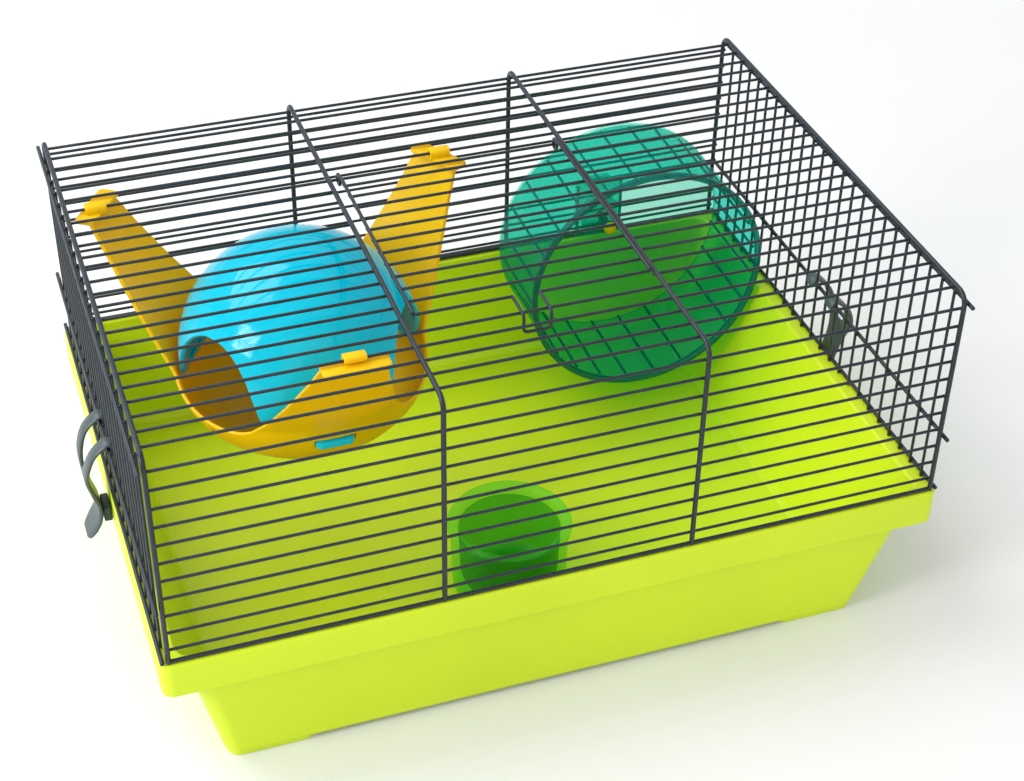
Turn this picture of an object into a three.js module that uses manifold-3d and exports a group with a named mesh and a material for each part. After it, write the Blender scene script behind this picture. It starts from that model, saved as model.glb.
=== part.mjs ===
// Small-pet cage: a deep plastic tray, a lift-off wire top with a roof door and two side
// clips, and the furniture inside it: an exercise wheel, a hanging nest and a food cup.
// Millimetres. +Z up, X along the length, -Y is the front. The origin is the centre of the
// footprint, on the surface that the tray stands on.
import * as THREE from 'three';
import { mergeVertices } from 'three/addons/utils/BufferGeometryUtils.js';
import Module from 'manifold-3d';

const wasm = await Module();
wasm.setup();

// ---- driving dimensions ------------------------------------------------------------
const GAP = 0.3;                  // clearance between touching pieces
const TRAY = { height: 78, rimL: 204.5, rimW: 145, skirt: 20, wall: 2.2, floorZ: 2.6,
  topL: 190, topW: 141.5, baseX: -4, baseL: 173, baseW: 139, lipL: 195.3, lipW: 139.6 };
const FOOT = { halfX: 22.5, halfY: 15, inset: 1.2 };
const CAGE = { halfL: 200, halfW: 142.45, top: 200.9, hoop: 2.6, bar: 1.6, endBar: 2.2,
  baseBar: 2.2, drop: 1.8, corner: 6.5, midX: 65, cornerZ: 194.4 };
const BASE_Z = TRAY.height + GAP; // underside of the wire top
const FRONT_BARS = { count: 11, first: 85.2, pitch: 10.75 };
const ROOF_BARS = { count: 25, first: -131.2, pitch: 11.1 };
const END_WIRES = { count: 23, pitch: 11.875, x: 201.3, barX: 203, clipZ: 113, topZ: 195 };
const DOOR = { left: -59, right: 62, front: 5, back: 17, barZ: 201.4, sideZ: 202.9 };
const LATCH = { left: -9, right: 5, z: 201.4, noseZ: 191.5 };
const CLIP = { y: -5.94, earOffset: 11.875, earW: 8, tube: 2.0, outer: 4.2 };
const WHEEL = { x: 122, z: 98, radius: 70, front: 54, back: 119 };
const NEST = { x: -94, y: 15, dishZ: 124, dishR: 67.5, dishDepth: 47, wall: 2.2,
  domeZ: 128, domeR: 64.2, tabTop: 197.5, tabHalf: 16.5, slotZ: 114.5 };
const CUP = { x: -4.2, y: -64.5, radius: 33.5, mouth: 27.5, height: 44 };
// The nest's three arms: direction in degrees, and distance out to the middle of the tab.
const ARMS = [{ turn: -90, reach: 114.6 }, { turn: 30, reach: 107 }, { turn: 147, reach: 107 }];

const roofY = (k) => ROOF_BARS.first + ROOF_BARS.pitch * k;
const frontZ = (k) => FRONT_BARS.first + FRONT_BARS.pitch * k;
const rad = THREE.MathUtils.degToRad;
const range = (n) => Array.from({ length: n }, (_, i) => i);

// ---- solids ------------------------------------------------------------------------
function meshVolume(positions, index) {
  const [a, b, c] = [0, 1, 2].map(() => new THREE.Vector3());
  let volume = 0;
  for (let i = 0; i < index.length; i += 3) {
    a.fromArray(positions, 3 * index[i]);
    b.fromArray(positions, 3 * index[i + 1]);
    c.fromArray(positions, 3 * index[i + 2]);
    volume += a.dot(b.cross(c)) / 6;
  }
  return volume;
}

// A closed three.js geometry becomes a solid with its faces pointing out.
function solid(geometry) {
  const bare = geometry.clone();
  bare.deleteAttribute('normal');
  bare.deleteAttribute('uv');
  const merged = mergeVertices(bare, 1e-4);
  const vertProperties = new Float32Array(merged.attributes.position.array);
  let triVerts = new Uint32Array(merged.index.array);
  triVerts = triVerts.filter((_, i) => {
    const t = triVerts.subarray(i - (i % 3), i - (i % 3) + 3);
    return t[0] !== t[1] && t[1] !== t[2] && t[2] !== t[0];
  });
  if (meshVolume(vertProperties, triVerts) < 0) {
    for (let i = 0; i < triVerts.length; i += 3) {
      [triVerts[i], triVerts[i + 1]] = [triVerts[i + 1], triVerts[i]];
    }
  }
  return new wasm.Manifold(new wasm.Mesh({ numProp: 3, vertProperties, triVerts }));
}

const join = (list) => list.reduce((sum, item) => sum.add(item));
const cut = (body, list) => list.reduce((rest, item) => rest.subtract(item), body);

function box(x, y, z) {
  const g = new THREE.BoxGeometry(x[1] - x[0], y[1] - y[0], z[1] - z[0]);
  g.translate((x[0] + x[1]) / 2, (y[0] + y[1]) / 2, (z[0] + z[1]) / 2);
  return solid(g);
}

const around = (c, d) => [c - d / 2, c + d / 2];
const wireX = (x, y, z, d) => box(x, around(y, d), around(z, d));
const wireY = (x, y, z, d) => box(around(x, d), y, around(z, d));
const wireZ = (x, y, z, d) => box(around(x, d), around(y, d), z);

const BASES = {
  x: [[0, 1, 0], [0, 0, 1], [1, 0, 0]],
  y: [[0, 0, 1], [1, 0, 0], [0, 1, 0]],
  z: [[1, 0, 0], [0, 1, 0], [0, 0, 1]],
};

// A flat outline pushed along an axis: outlines are (y,z) for x, (z,x) for y, (x,y) for z.
function prism(outline, axis, from, to, arcSteps = 8) {
  const shape = outline instanceof THREE.Shape ? outline
    : new THREE.Shape(outline.map(([u, v]) => new THREE.Vector2(u, v)));
  const g = new THREE.ExtrudeGeometry(shape,
    { depth: to - from, bevelEnabled: false, curveSegments: arcSteps });
  g.translate(0, 0, from);
  const [u, v, w] = BASES[axis].map((p) => new THREE.Vector3(...p));
  g.applyMatrix4(new THREE.Matrix4().makeBasis(u, v, w));
  return solid(g);
}

// A closed profile of [radius, height] points turned about Z or Y through (x, y) or (x, z).
function turned(profile, steps, axis, a, b) {
  const g = new THREE.LatheGeometry(profile.map(([r, h]) => new THREE.Vector2(r, h)), steps);
  if (axis === 'z') g.rotateX(Math.PI / 2).translate(a, b, 0);
  else g.translate(a, 0, b);
  return solid(g);
}

// Closed rings of points, each joined to the next; the first and last are capped flat.
function loft(rings) {
  const n = rings[0].length;
  const positions = rings.flat(2);
  const index = [];
  for (let r = 0; r < rings.length - 1; r += 1) {
    for (let i = 0; i < n; i += 1) {
      const [a, b] = [r * n + i, r * n + ((i + 1) % n)];
      index.push(a, b, b + n, a, b + n, a + n);
    }
  }
  const last = (rings.length - 1) * n;
  for (let i = 1; i < n - 1; i += 1) {
    index.push(0, i + 1, i, last, last + i, last + i + 1);
  }
  const g = new THREE.BufferGeometry();
  g.setAttribute('position', new THREE.Float32BufferAttribute(positions, 3));
  g.setIndex(index);
  return solid(g);
}

function roundedRing(halfX, halfY, radius, z, cx = 0, steps = 5) {
  const points = [];
  for (const [sx, sy, start] of [[1, 1, 0], [-1, 1, 90], [-1, -1, 180], [1, -1, 270]]) {
    for (let i = 0; i <= steps; i += 1) {
      const a = rad(start + (90 * i) / steps);
      points.push([cx + sx * (halfX - radius) + radius * Math.cos(a),
        sy * (halfY - radius) + radius * Math.sin(a), z]);
    }
  }
  return points;
}

// ---- tray --------------------------------------------------------------------------
// The tray's foot stands a little to the left of the middle of its rim.
function makeTray() {
  const { height: h, rimL, rimW, skirt, wall, floorZ, topL, topW } = TRAY;
  const { baseX, baseL, baseW, lipL, lipW } = TRAY;
  const low = h - skirt;
  const body = loft([
    roundedRing(baseL - FOOT.inset, baseW - FOOT.inset, 7, floorZ, baseX),
    roundedRing(baseL, baseW, 8, floorZ + 1.6, baseX),
    roundedRing(topL, topW, 10, low),
    roundedRing(lipL + wall, topW + 0.2, 9, h - wall),
    roundedRing(rimL - wall, rimW - wall, 4, h - wall),
    roundedRing(rimL - wall, rimW - wall, 4, low),
    roundedRing(rimL, rimW, 6, low),
    roundedRing(rimL, rimW, 6, h - 1.2),
    roundedRing(rimL - 1.2, rimW - 1.2, 5, h),
    roundedRing(lipL, lipW, 8, h),
    roundedRing(topL - wall, topW - wall - 0.3, 8, low),
    roundedRing(baseL - wall, baseW - wall, 6, floorZ + 5, baseX),
    roundedRing(baseL - 5, baseW - 5, 5, floorZ + 2.4, baseX),
  ]);
  const [footX, footY] = [baseL - FOOT.inset - FOOT.halfX, baseW - FOOT.inset - FOOT.halfY];
  const feet = [[1, 1], [-1, 1], [-1, -1], [1, -1]].map(([sx, sy]) => {
    const pad = roundedRing(FOOT.halfX, FOOT.halfY, 7, 0).map(([x, y]) => [x, y]);
    return prism(pad, 'z', 0, floorZ + 1).translate([baseX + sx * footX, sy * footY, 0]);
  });
  return join([body, ...feet]);
}

// ---- wire top ----------------------------------------------------------------------
const HOOPS_X = [-CAGE.halfL, -CAGE.midX, CAGE.midX, CAGE.halfL];

// Front and back walls: long bars welded inside four uprights, on a base wire.
function makeWall(side) {
  const y = side * CAGE.halfW;
  const barY = side * (CAGE.halfW - CAGE.drop);
  const uprights = HOOPS_X.map((x) =>
    wireZ(x, y, [BASE_Z, CAGE.cornerZ - GAP], CAGE.hoop));
  const bars = range(FRONT_BARS.count).map((k) =>
    wireX([-CAGE.halfL - 1, CAGE.halfL + 1], barY, frontZ(k), CAGE.bar));
  const base = wireX([-CAGE.halfL + 1, CAGE.halfL - 1], y, BASE_Z + CAGE.baseBar / 2,
    CAGE.baseBar);
  return join([base, ...uprights, ...bars]);
}

// The flat top of a bent hoop with its two rounded corners, as an outline in (y, z).
function hoopOutline() {
  const { halfW, top, hoop, corner, cornerZ } = CAGE;
  const [outer, inner] = [halfW + hoop / 2, halfW - hoop / 2];
  const s = new THREE.Shape();
  s.moveTo(-outer, cornerZ);
  s.absarc(-halfW + corner, top - corner, corner + hoop / 2, Math.PI, Math.PI / 2, true);
  s.absarc(halfW - corner, top - corner, corner + hoop / 2, Math.PI / 2, 0, true);
  s.lineTo(outer, cornerZ);
  s.lineTo(inner, cornerZ);
  s.absarc(halfW - corner, top - corner, corner - hoop / 2, 0, Math.PI / 2, false);
  s.absarc(-halfW + corner, top - corner, corner - hoop / 2, Math.PI / 2, Math.PI, false);
  s.lineTo(-inner, cornerZ);
  return s;
}

// Roof: the same hoops carried over, with bars under them, open where the door lies.
function makeRoof() {
  const outline = hoopOutline();
  const z = CAGE.top - CAGE.drop;
  const hoops = HOOPS_X.map((x) =>
    prism(outline, 'x', x - CAGE.hoop / 2, x + CAGE.hoop / 2, 3));
  const bars = range(ROOF_BARS.count).flatMap((k) => {
    const end = CAGE.halfL + 1;
    const runs = k >= DOOR.front && k < DOOR.back
      ? [[-end, -CAGE.midX + 1], [CAGE.midX - 1, end]] : [[-end, end]];
    return runs.map((run) => wireX(run, roofY(k), z, CAGE.bar));
  });
  return join([...hoops, ...bars]);
}

// End panels: upright wires welded inside a top wire, a clip bar and a base wire.
function makeEnd(side) {
  const { count, pitch, x, barX, clipZ, topZ } = END_WIRES;
  const uprights = range(count).map((k) => wireZ(side * x, (k - (count - 1) / 2) * pitch,
    [BASE_Z, topZ + 1.2], CAGE.bar));
  const rails = [[BASE_Z + 1.2, 1], [clipZ, 3.5], [topZ, 3.5]].map(([z, past]) =>
    wireY(side * barX, [-CAGE.halfW - past, CAGE.halfW + past], z, CAGE.endBar));
  return join([...rails, ...uprights]);
}

// ---- roof door ---------------------------------------------------------------------
const DOOR_AXIS = { y: roofY(DOOR.back), z: CAGE.top - CAGE.drop };

function ringAbout(y, z, inner, outer) {
  const s = new THREE.Shape();
  s.absarc(y, z, outer, 0, 2 * Math.PI, false);
  const hole = new THREE.Path();
  hole.absarc(y, z, inner, 0, 2 * Math.PI, true);
  s.holes.push(hole);
  return s;
}

// The door's front bar stops each side of the latch loop, which carries on from it.
function makeDoor() {
  const front = roofY(DOOR.front);
  const eye = ringAbout(DOOR_AXIS.y, DOOR_AXIS.z, 1.8, 3.6);
  const sides = [DOOR.left, DOOR.right].flatMap((x) => [
    wireY(x, [front - 1, DOOR_AXIS.y + 0.5], DOOR.sideZ, 2),
    prism(eye, 'x', x - 1, x + 1, 8),
  ]);
  const frontBars = [[DOOR.left, LATCH.left - 1 - GAP], [LATCH.right + 1 + GAP, DOOR.right]]
    .map((run) => wireX(run, front, DOOR.barZ, CAGE.bar));
  const bars = range(DOOR.back - DOOR.front - 1).map((i) =>
    wireX([DOOR.left, DOOR.right], roofY(DOOR.front + 1 + i), DOOR.barZ, CAGE.bar));
  return join([...sides, ...frontBars, ...bars]);
}

// Sprung wire loop on the door's front edge: it passes over one roof bar, and its nose
// drops between that bar and the next.
function makeLatchLoop() {
  const back = roofY(DOOR.front) + 1;
  const nose = (roofY(4) + roofY(3)) / 2;
  const { left, right, z, noseZ } = LATCH;
  const leg = [[back, z - 1], [back, z + 1], [nose - 1, z + 1], [nose - 1, noseZ - 1],
    [nose + 1, noseZ - 1], [nose + 1, z - 1]];
  const legs = [left, right].map((x) => prism(leg, 'x', x - 1, x + 1));
  return join([...legs, wireX([left, right], nose, noseZ, 2)]);
}

// ---- side clips --------------------------------------------------------------------
// The clip hooks over the clip bar with two ears, bows outwards, and ends in a finger
// tab; a separate pad on its inner face presses on the tray's rim.
function makeClip(side) {
  const { y, earOffset, earW, tube, outer } = CLIP;
  const [bx, bz] = [END_WIRES.barX, END_WIRES.clipZ];
  const path = [[206.4, 114.5], [211.6, 108.5], [215, 99], [215.4, 90], [213, 79],
    [210.6, 70], [211.2, 63], [214.6, 56.5], [218.2, 51]];
  const thick = 1.1;
  const line = path.map(([px, pz]) => new THREE.Vector2(px, pz));
  const edge = (sign) => line.map((p, i) => {
    const t = line[Math.min(i + 1, line.length - 1)].clone()
      .sub(line[Math.max(i - 1, 0)]).normalize();
    return [p.y + sign * t.x * thick, p.x - sign * t.y * thick];
  });
  const blade = prism([...edge(1), ...edge(-1).reverse()], 'y', y - 16, y + 16);
  const outline = [[-16, 120], [-16, 98], [-8, 84], [-7.5, 70], [-9.5, 62], [-9, 55],
    [-6, 48], [6, 48], [9, 55], [9.5, 62], [7.5, 70], [8, 84], [16, 98], [16, 120]];
  const sheet = prism(outline.map(([u, v]) => [u + y, v]), 'x', 200, 222);
  const windowHalf = earOffset - earW / 2;
  const window = prism([[-windowHalf, 122], [-windowHalf, 108], [-3, 92], [3, 92],
    [windowHalf, 108], [windowHalf, 122]].map(([u, v]) => [u + y, v]), 'x', 198, 224);
  const arc = new THREE.Shape();
  arc.absarc(bz, bx, outer, rad(-10), rad(190), false);
  arc.absarc(bz, bx, tube, rad(190), rad(-10), true);
  const ears = [-1, 1].map((s) => prism(arc, 'y', y + s * earOffset - earW / 2,
    y + s * earOffset + earW / 2, 10));
  const body = join([cut(blade.intersect(sheet), [window]), ...ears]);
  return side > 0 ? body : body.scale([-1, 1, 1]);
}

function makeClipPad(side) {
  const pad = box([TRAY.rimL + 0.4, 209.1], [CLIP.y - 7, CLIP.y + 7], [60, 69]);
  return side > 0 ? pad : pad.scale([-1, 1, 1]);
}

// ---- wheel -------------------------------------------------------------------------
const WHEEL_STEPS = 48;

function makeTrack() {
  const { x, z, radius: r, front, back } = WHEEL;
  const [a, b] = [front + 3.6, back - 2.5];
  return turned([[r - 2, a], [r, a], [r, b], [r - 2, b], [r - 2, a]], WHEEL_STEPS, 'y', x, z);
}

function makeFrontRing() {
  const { x, z, radius: r, front } = WHEEL;
  return turned([[r - 1.8, front + 0.6], [r - 1.2, front], [r + 0.9, front],
    [r + 1.5, front + 0.6], [r + 1.5, front + 3.3], [r - 1.8, front + 3.3],
    [r - 1.8, front + 0.6]], WHEEL_STEPS, 'y', x, z);
}

function makeBackDisc() {
  const { x, z, radius: r, back } = WHEEL;
  return turned([[2.6, back - 2.2], [r, back - 2.2], [r, back], [6.4, back], [6, 121.8],
    [2.6, 121.8], [2.6, back - 2.2]], WHEEL_STEPS, 'y', x, z);
}

function makeHubCap() {
  const face = WHEEL.back - 2.2 - GAP;
  return turned([[0, face - 3.4], [2.8, face - 3.4], [3.8, face - 2.4], [3.8, face], [0, face]],
    24, 'y', WHEEL.x, WHEEL.z);
}

const makeAxle = () => turned([[0, WHEEL.back - 2], [2.2, WHEEL.back - 2], [2.2, 134.2],
  [0, 134.2]], 24, 'y', WHEEL.x, WHEEL.z);

// Plate behind the wheel that snaps over two bars of the back wall.
function makeBracket() {
  const { x, z } = WHEEL;
  const plate = box([x - 15, x + 15], [134.6, 137.6], [82, 120.6]);
  const boss = turned([[2.5, 122.4], [8, 122.4], [11, 134.8], [2.5, 134.8], [2.5, 122.4]],
    24, 'y', x, z);
  const hooks = [
    box([x - 8, x + 8], [137, 143.2], [118.9, 120.6]),
    box([x - 8, x + 8], [141.8, 143.2], [116.4, 119.5]),
    box([x - 8, x + 8], [137, 143.2], [82, 83.8]),
    box([x - 8, x + 8], [141.8, 143.2], [83, 86.2]),
  ];
  return join([plate, boss, ...hooks]);
}

// ---- hanging nest ------------------------------------------------------------------
// Height of the dish's edge, by angle away from an arm's centre line (degrees).
const EDGE = [[0, 196.4], [4.5, 196.4], [8, 196.4], [10.5, 181], [15, 163], [20, 148],
  [27, 132], [36, 120.5], [47, 116], [60, 115]];

// How far the arms lean outwards; the front one leans furthest.
const leanAt = (angle) => rad(28.5 + 4.6 * Math.max(0, -Math.sin(rad(angle))));

function dishPoint(length, inset, lean) {
  const { dishR, dishDepth, dishZ } = NEST;
  const [a, c] = [dishR - inset, dishDepth - inset];
  const steps = 24;
  let [r, z, left] = [0, dishZ - c, length];
  for (let i = 1; i <= steps; i += 1) {
    const t = (i / steps) * (Math.PI / 2);
    const [nr, nz] = [a * Math.sin(t), dishZ - c * Math.cos(t)];
    const d = Math.hypot(nr - r, nz - z);
    if (d >= left) return [r + ((nr - r) * left) / d, z + ((nz - z) * left) / d];
    [r, z, left] = [nr, nz, left - d];
  }
  return [r + left * Math.sin(lean), z + left * Math.cos(lean)];
}

function lengthTo(height, inset, lean) {
  let [low, high] = [0, 260];
  for (let i = 0; i < 40; i += 1) {
    const mid = (low + high) / 2;
    if (dishPoint(mid, inset, lean)[1] < height) low = mid; else high = mid;
  }
  return low;
}

// The last two rows run up the straight arm, the others share the curved dish.
function dishSurface(columns, rows, inset) {
  return columns.map(([angle, height]) => {
    const lean = leanAt(angle);
    const full = lengthTo(height, inset, lean);
    const curved = Math.min(lengthTo(NEST.dishZ, inset, lean), 0.92 * full);
    return range(rows).map((i) => {
      const along = i < rows - 2 ? (curved * (i + 1)) / (rows - 2)
        : curved + ((full - curved) * (i + 3 - rows)) / 2;
      const [r, z] = dishPoint(along, inset, lean);
      return [NEST.x + r * Math.cos(rad(angle)), NEST.y + r * Math.sin(rad(angle)), z];
    });
  });
}

function makeDishShell() {
  const columns = ARMS.flatMap(({ turn }, i) => {
    const next = ARMS[(i + 1) % ARMS.length].turn + (i + 1 < ARMS.length ? 0 : 360);
    const last = ARMS[(i + 2) % ARMS.length].turn - (i > 0 ? 0 : 360);
    const [before, after] = [(turn - last) / 120, (next - turn) / 120];
    return [...EDGE.slice(1, -1).reverse().map(([a, h]) => [turn - a * before, h]),
      ...EDGE.map(([a, h]) => [turn + a * after, h])];
  });
  const rows = 10;
  const n = columns.length;
  const [outer, inner] = [0, NEST.wall].map((inset) => dishSurface(columns, rows, inset));
  const rings = range(rows).map((i) => outer.map((column) => column[i]));
  range(rows).reverse().forEach((i) => rings.push(inner.map((column) => column[i])));
  const positions = rings.flat(2);
  const [low, high] = [0, NEST.wall].map((inset) => NEST.dishZ - NEST.dishDepth + inset);
  positions.push(NEST.x, NEST.y, low, NEST.x, NEST.y, high);
  const index = [];
  range(rings.length - 1).forEach((r) => range(n).forEach((i) => {
    const [a, b] = [r * n + i, r * n + ((i + 1) % n)];
    index.push(a, b, b + n, a, b + n, a + n);
  }));
  const last = (rings.length - 1) * n;
  range(n).forEach((i) => {
    const j = (i + 1) % n;
    index.push(rings.length * n, j, i, rings.length * n + 1, last + i, last + j);
  });
  const g = new THREE.BufferGeometry();
  g.setAttribute('position', new THREE.Float32BufferAttribute(positions, 3));
  g.setIndex(index);
  return solid(g);
}

const turnAboutNest = (body, angle) =>
  body.translate([-NEST.x, -NEST.y, 0]).rotate([0, 0, angle]).translate([NEST.x, NEST.y, 0]);

// A hook over the roof bar at y: it rises on one side of the bar and drops on the other.
function makeHook(x, barY, outward) {
  const s = outward;
  const ys = (a, b) => [barY + s * a, barY + s * b].sort((p, q) => p - q);
  const wide = [x - 5.5, x + 5.5];
  const barTop = CAGE.top - 1;
  return [box(wide, ys(-4, -1.6), [NEST.tabTop - 1, barTop + 2]),
    box(wide, ys(-4, 2.9), [barTop + 0.4, barTop + 2]),
    box(wide, ys(1.4, 2.9), [barTop - 0.8, barTop + 1])];
}

function makeHammock() {
  const { x, y, tabTop, tabHalf, slotZ, dishR } = NEST;
  const tabs = ARMS.map(({ turn, reach }) => turnAboutNest(box([x + reach - 5.5, x + reach + 5.5],
    [y - tabHalf, y + tabHalf], [tabTop - 2.2, tabTop]), turn));
  const slots = ARMS.map(({ turn }) => turnAboutNest(box([x + dishR - 12, x + dishR + 8],
    [y - 10.8, y + 10.8], [slotZ - 2.6, slotZ + 2.6]), turn));
  const hooks = [makeHook(x, roofY(3), -1), makeHook(x + 93, roofY(18), 1),
    makeHook(x - 91, roofY(18), 1)].flat();
  return join([cut(makeDishShell(), slots), ...tabs, ...hooks]);
}

function makeDome() {
  const { x, y, domeZ: cz, domeR: r, wall, slotZ } = NEST;
  const arc = (radius, from, to, n) => range(n + 1).map((i) => {
    const a = rad(from + ((to - from) * i) / n);
    return [radius * Math.cos(a), cz + radius * Math.sin(a)];
  });
  const profile = [...arc(r, -13.9, 90, 9), ...arc(r - wall, 90, -14.4, 9)];
  profile.push(profile[0]);
  profile[9][0] = 0;
  profile[10][0] = 0;
  const shell = turned(profile, 36, 'z', x, y);
  const half = [[0, 160], [8, 158.8], [15, 155.3], [20.5, 150.5], [25, 144.5], [29.5, 134.5],
    [33.5, 122.5], [38, 116], [48, 109], [62, 100]];
  const arch = [...half, ...half.slice(1).reverse().map(([u, v]) => [-u, v])];
  const doors = ARMS.map(({ turn }) => turnAboutNest(
    prism(arch, 'x', 12, 90).translate([x, y, 0]), turn + 60));
  const tongues = ARMS.map(({ turn }) => turnAboutNest(
    box([x + r - 5, x + r + 4.6], [y - 10, y + 10], [slotZ - 1.8, slotZ + 1.8]), turn));
  return join([cut(shell, doors), ...tongues]);
}

// ---- food cup ----------------------------------------------------------------------
function makeCup() {
  const { x, y, radius: r, mouth: m, height: h } = CUP;
  const z = TRAY.floorZ + 2.4 + GAP;
  return turned([[0, z], [r - 3, z], [r - 1, z + 2], [r - 0.6, z + h - 5], [r, z + h - 3],
    [r, z + h - 1.2], [r - 1.4, z + h], [m + 0.8, z + h], [m, z + h - 1.4], [m, z + h - 6],
    [m - 1.2, z + 7], [m - 5, z + 3.4], [0, z + 3]], 36, 'z', x, y);
}

// ---- materials and assembly --------------------------------------------------------
const material = (color, roughness, extra = {}) =>
  new THREE.MeshStandardMaterial({ color, roughness, metalness: 0, ...extra });
const LIME = material(0xc4e619, 0.32);
const WIRE = material(0x2b3a44, 0.38, { metalness: 0.35 });
const GREY = material(0x5c686b, 0.45);
const DARK = material(0x1c2425, 0.55);
const YELLOW = material(0xf0c314, 0.34);
const BLUE = material(0x14aed6, 0.22);
const TEAL = material(0x1fa89c, 0.18, { transparent: true, opacity: 0.6 });

const cage = new THREE.Group();

function addPart(name, body, look) {
  const { numProp, vertProperties, triVerts } = body.getMesh();
  const g = new THREE.BufferGeometry();
  const positions = new Float32Array((vertProperties.length / numProp) * 3);
  for (let i = 0; i < positions.length / 3; i += 1) {
    for (let k = 0; k < 3; k += 1) positions[3 * i + k] = vertProperties[i * numProp + k];
  }
  g.setAttribute('position', new THREE.BufferAttribute(positions, 3));
  g.setIndex(new THREE.BufferAttribute(new Uint32Array(triVerts), 1));
  const flat = g.toNonIndexed();
  flat.computeVertexNormals();
  const mesh = new THREE.Mesh(flat, look.clone());
  mesh.name = name;
  cage.add(mesh);
}

addPart('tray', makeTray(), LIME);
addPart('front_wire_wall', makeWall(-1), WIRE);
addPart('back_wire_wall', makeWall(1), WIRE);
addPart('roof_wire_panel', makeRoof(), WIRE);
addPart('left_end_panel', makeEnd(-1), WIRE);
addPart('right_end_panel', makeEnd(1), WIRE);
addPart('roof_door', makeDoor(), WIRE);
addPart('door_latch_loop', makeLatchLoop(), WIRE);
addPart('left_side_clip', makeClip(-1), GREY);
addPart('right_side_clip', makeClip(1), GREY);
addPart('left_clip_pad', makeClipPad(-1), DARK);
addPart('right_clip_pad', makeClipPad(1), DARK);
addPart('wheel_track', makeTrack(), TEAL);
addPart('wheel_front_ring', makeFrontRing(), TEAL);
addPart('wheel_back_disc', makeBackDisc(), TEAL);
addPart('wheel_hub_cap', makeHubCap(), YELLOW);
addPart('wheel_axle', makeAxle(), GREY);
addPart('wheel_bracket', makeBracket(), TEAL);
addPart('hammock_nest', makeHammock(), YELLOW);
addPart('nest_dome', makeDome(), BLUE);
addPart('food_cup', makeCup(), TEAL);

export default cage;
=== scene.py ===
"""Looks for a wire-topped small-pet cage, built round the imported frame.

Lengths in the shape code are millimetres in the row frame, and MM turns them into metres.
"""

import math

import bmesh
import bpy
from mathutils import Matrix, Vector


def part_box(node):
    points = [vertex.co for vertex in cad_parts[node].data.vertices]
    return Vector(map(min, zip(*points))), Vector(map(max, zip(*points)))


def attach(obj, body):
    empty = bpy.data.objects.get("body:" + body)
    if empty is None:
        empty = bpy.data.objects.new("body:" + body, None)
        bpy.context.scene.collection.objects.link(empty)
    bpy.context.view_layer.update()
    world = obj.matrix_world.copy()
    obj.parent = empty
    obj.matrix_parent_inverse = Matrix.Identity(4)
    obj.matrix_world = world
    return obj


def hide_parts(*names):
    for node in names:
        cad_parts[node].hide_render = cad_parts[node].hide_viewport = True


MM = 0.001
TAU = 2 * math.pi

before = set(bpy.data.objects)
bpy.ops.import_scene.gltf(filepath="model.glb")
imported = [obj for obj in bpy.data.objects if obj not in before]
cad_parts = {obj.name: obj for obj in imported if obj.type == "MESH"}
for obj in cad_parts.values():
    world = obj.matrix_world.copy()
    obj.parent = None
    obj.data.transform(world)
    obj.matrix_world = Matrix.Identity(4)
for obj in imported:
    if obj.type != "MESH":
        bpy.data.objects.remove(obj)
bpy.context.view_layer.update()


def box_mm(node):
    low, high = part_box(node)
    return low / MM, high / MM


# ---- places read from the frame ----------------------------------------------------
_, roof_high = box_mm("roof_wire_panel")
wall_low, _ = box_mm("front_wire_wall")
door_low, door_high = box_mm("roof_door")
latch_low, latch_high = box_mm("door_latch_loop")
pad_low, pad_high = box_mm("right_clip_pad")
_, tray_high = box_mm("tray")
track_low, track_high = box_mm("wheel_track")
cup_low, cup_high = box_mm("food_cup")
dome_low, dome_high = box_mm("nest_dome")

# Radii of the wires: hoops, infill bars, end rails, base wires, door frame, latch loop.
HOOP_R, BAR_R, RAIL_R, BASE_R, FRAME_R, LATCH_R = 1.3, 0.8, 1.1, 1.1, 0.95, 0.85
DROP = 1.8                                 # bar centres lie this far inside the hoops'
BAR_OVERHANG = 0.8                         # long bars run this far past the end hoops
HALF_L = roof_high.x - HOOP_R              # centres of the end hoops
HALF_W = roof_high.y - HOOP_R
HOOP_TOP = roof_high.z - HOOP_R
BASE_Z = wall_low.z
CORNER_R = 6.5                             # bend radius of the hoops at the roof's edges
MID_X = 65.0                               # the two middle hoops, left and right of centre
HOOPS_X = (-HALF_L, -MID_X, MID_X, HALF_L)
FRONT_BARS, FRONT_FIRST, FRONT_PITCH = 11, 85.2, 10.75
ROOF_BARS, ROOF_FIRST, ROOF_PITCH = 25, -131.2, 11.1
END_WIRES, END_PITCH, END_TOP = 23, 11.875, 196.0
END_RAILS = (BASE_Z + 1.2, 113, 195)       # heights of the three rails of an end panel
END_WIRE_OUT, END_RAIL_OUT = 1.3, 3.0      # how far past the end hoops these two lie
RAIL_STUB, BASE_STUB = 3.3, 0.8            # how far the rails run past the long walls
DOOR_FRONT, DOOR_BACK = 5, 17              # roof bars that the door's two ends lie over
DOOR_LIFT, FRAME_LIFT = 0.5, 2.0           # door bars and frame wires above the hoops
HOOK_R = 2.7                               # the frame wires' curl round the hinge bar
DOOR_SIDES = (door_low.x + 1, door_high.x - 1)
LATCH_LEFT, LATCH_RIGHT = latch_low.x + 1, latch_high.x - 1
WHEEL_X, WHEEL_Z = (track_low.x + track_high.x) / 2, (track_low.z + track_high.z) / 2
NEST_X, NEST_Y = (dome_low.x + dome_high.x) / 2, 15.0
CUP_X, CUP_Y = (cup_low.x + cup_high.x) / 2, (cup_low.y + cup_high.y) / 2
# The nest's arms: direction in degrees, and distance out to the middle of the tab.
ARMS = ((-90, 114.6), (30, 107.0), (147, 107.0))


def roof_y(k):
    return ROOF_FIRST + ROOF_PITCH * k


def front_z(k):
    return FRONT_FIRST + FRONT_PITCH * k


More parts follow.
